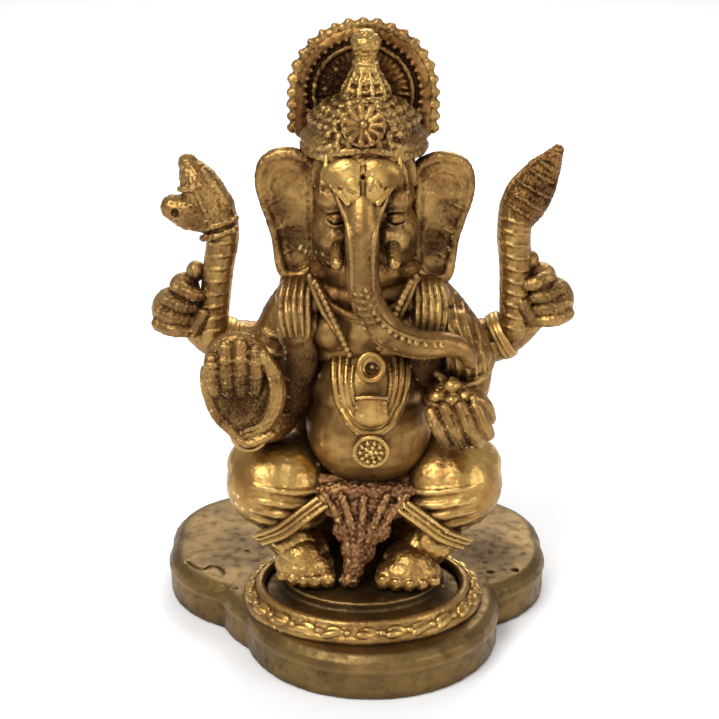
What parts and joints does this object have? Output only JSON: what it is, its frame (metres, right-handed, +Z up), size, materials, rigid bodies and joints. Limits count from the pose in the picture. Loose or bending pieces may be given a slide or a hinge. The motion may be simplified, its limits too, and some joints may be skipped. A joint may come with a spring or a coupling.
{
  "type": "elephant-headed deity figurine",
  "caption": "Cast brass figurine of a seated elephant-headed deity with raised hand, goad, noose, bowl of sweets, crown and aureole, on a lobed plinth.",
  "frame": {"origin": "on the table, at the middle of the outline seen from above", "axes": "+Z up, the figure faces -Y, its own right hand is at -X"},
  "size_m": [0.0794, 0.0692, 0.117],
  "materials": {
    "antique_brass": "antique, brown patina in the hollows",
    "worn_brass": "rubbed bright on the high spots",
    "dark_brass": "dark brown patina",
    "patina_brass": "rough cast, reddish brown patina",
    "plinth_brass": "satin, greenish brown patina",
    "screw_steel": "plain"
  },
  "bodies": {
    "root": {"plinth": "plinth_brass", "seat_plate": "plinth_brass", "seat_border": "worn_brass", "border_petals": "worn_brass", "fixing_screws": "screw_steel", "hips": "dark_brass", "belly": "antique_brass", "chest": "antique_brass", "neck": "dark_brass", "waist_belt": "worn_brass", "right_thigh": "worn_brass", "left_thigh": "worn_brass", "right_shin": "worn_brass", "left_shin": "worn_brass", "right_foot": "worn_brass", "left_foot": "worn_brass", "right_hem": "worn_brass", "left_hem": "worn_brass", "front_sash": "patina_brass", "head": "antique_brass", "trunk": "antique_brass", "forehead_plate": "worn_brass", "eyes": "dark_brass", "right_tusk": "worn_brass", "left_tusk": "worn_brass", "right_ear": "antique_brass", "left_ear": "antique_brass", "crown": "antique_brass", "crown_boss": "worn_brass", "crown_finial": "worn_brass", "aureole": "dark_brass", "aureole_teeth": "antique_brass", "right_front_arm": "antique_brass", "right_front_hand": "worn_brass", "left_front_arm": "antique_brass", "left_front_hand": "worn_brass", "right_rear_arm": "antique_brass", "right_rear_hand": "worn_brass", "left_rear_arm": "antique_brass", "left_rear_hand": "worn_brass", "front_bracelets": "worn_brass", "rear_bracelets": "worn_brass", "goad_shaft": "antique_brass", "goad_head": "worn_brass", "noose_shaft": "antique_brass", "noose_head": "worn_brass", "sweets_bowl": "antique_brass", "sweets": "worn_brass", "right_shawl": "antique_brass", "left_shawl": "antique_brass", "back_shawl": "antique_brass", "necklace_rows": "worn_brass", "neck_beads": "worn_brass", "belly_plate": "worn_brass", "pendant": "worn_brass", "brooch": "worn_brass"}
  },
  "joints": []
}
